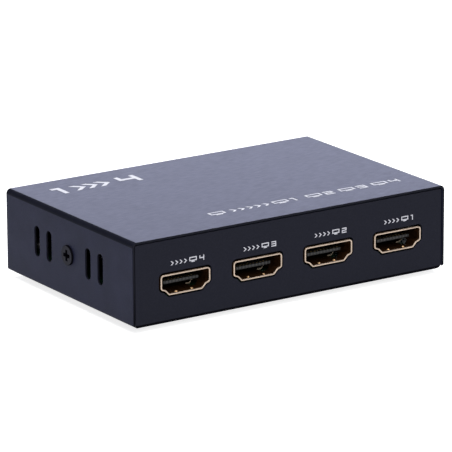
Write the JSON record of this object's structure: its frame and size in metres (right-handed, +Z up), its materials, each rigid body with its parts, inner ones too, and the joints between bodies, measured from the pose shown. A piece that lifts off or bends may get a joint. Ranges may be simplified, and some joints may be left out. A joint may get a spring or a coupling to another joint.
{
  "type": "video splitter",
  "caption": "Low folded sheet-metal box that sends one video signal to several screens: sockets along the front, vent slots in the ends, power jack and slide switch behind.",
  "frame": {"origin": "on the table, under the middle of the case", "axes": "+X along the case, to the right as seen from the outputs; +Y to the rear; +Z up"},
  "size_m": [0.097, 0.0624, 0.0239],
  "materials": {
    "cover_metal": "black anodised, brushed on top and matt on the sides",
    "tray_metal": "matt black powder coat",
    "black_screw": "black oxide",
    "foot_rubber": "matt moulded rubber",
    "board": "green solder mask on glass laminate",
    "plated_brass": "plain nickel-plated brass",
    "zinc_screw": "bright zinc",
    "gold_shell": "thin gold plate, bright",
    "gold_contact": "gold plate",
    "socket_plastic": "dark moulded plastic",
    "jack_plastic": "black moulded plastic",
    "tinned_metal": "tin plate",
    "switch_steel": "nickel plate",
    "switch_laminate": "brown phenolic laminate",
    "knob_plastic": "black moulded plastic",
    "light_lens": "tinted clear resin",
    "chip_resin": "moulded resin, laser-matt",
    "can_metal": "bright drawn can",
    "ferrite": "sintered ferrite",
    "capacitor_ceramic": "fired ceramic"
  },
  "bodies": {
    "case": {"top_cover": "cover_metal", "base_tray": "tray_metal", "cover_screws": "black_screw", "rubber_feet": "foot_rubber", "circuit_board": "board", "standoffs": "plated_brass", "board_screws": "zinc_screw", "output_shell_1": "gold_shell", "output_tongue_1": "socket_plastic", "output_contacts_1": "gold_contact", "output_shell_2": "gold_shell", "output_tongue_2": "socket_plastic", "output_contacts_2": "gold_contact", "output_shell_3": "gold_shell", "output_tongue_3": "socket_plastic", "output_contacts_3": "gold_contact", "output_shell_4": "gold_shell", "output_tongue_4": "socket_plastic", "output_contacts_4": "gold_contact", "input_shell": "gold_shell", "input_tongue": "socket_plastic", "input_contacts": "gold_contact", "power_jack_body": "jack_plastic", "power_jack_pin": "tinned_metal", "power_jack_leaf": "tinned_metal", "switch_frame": "switch_steel", "switch_base": "switch_laminate", "switch_terminals": "tinned_metal", "power_light": "light_lens", "light_leads": "tinned_metal", "splitter_chip": "chip_resin", "microcontroller": "chip_resin", "memory_chip": "chip_resin", "chip_leads": "tinned_metal", "voltage_regulators": "chip_resin", "crystal": "can_metal", "power_inductor": "ferrite", "electrolytic_capacitors": "can_metal", "chip_capacitors": "capacitor_ceramic", "chip_resistors": "chip_resin", "surge_arrays": "chip_resin"},
    "slider": {"switch_slider": "knob_plastic"}
  },
  "joints": [
    {"name": "power_switch_slide", "type": "slide", "parent": "case", "child": "slider", "axis": [1, 0, 0], "range_m": [0, 0.003]}
  ]
}
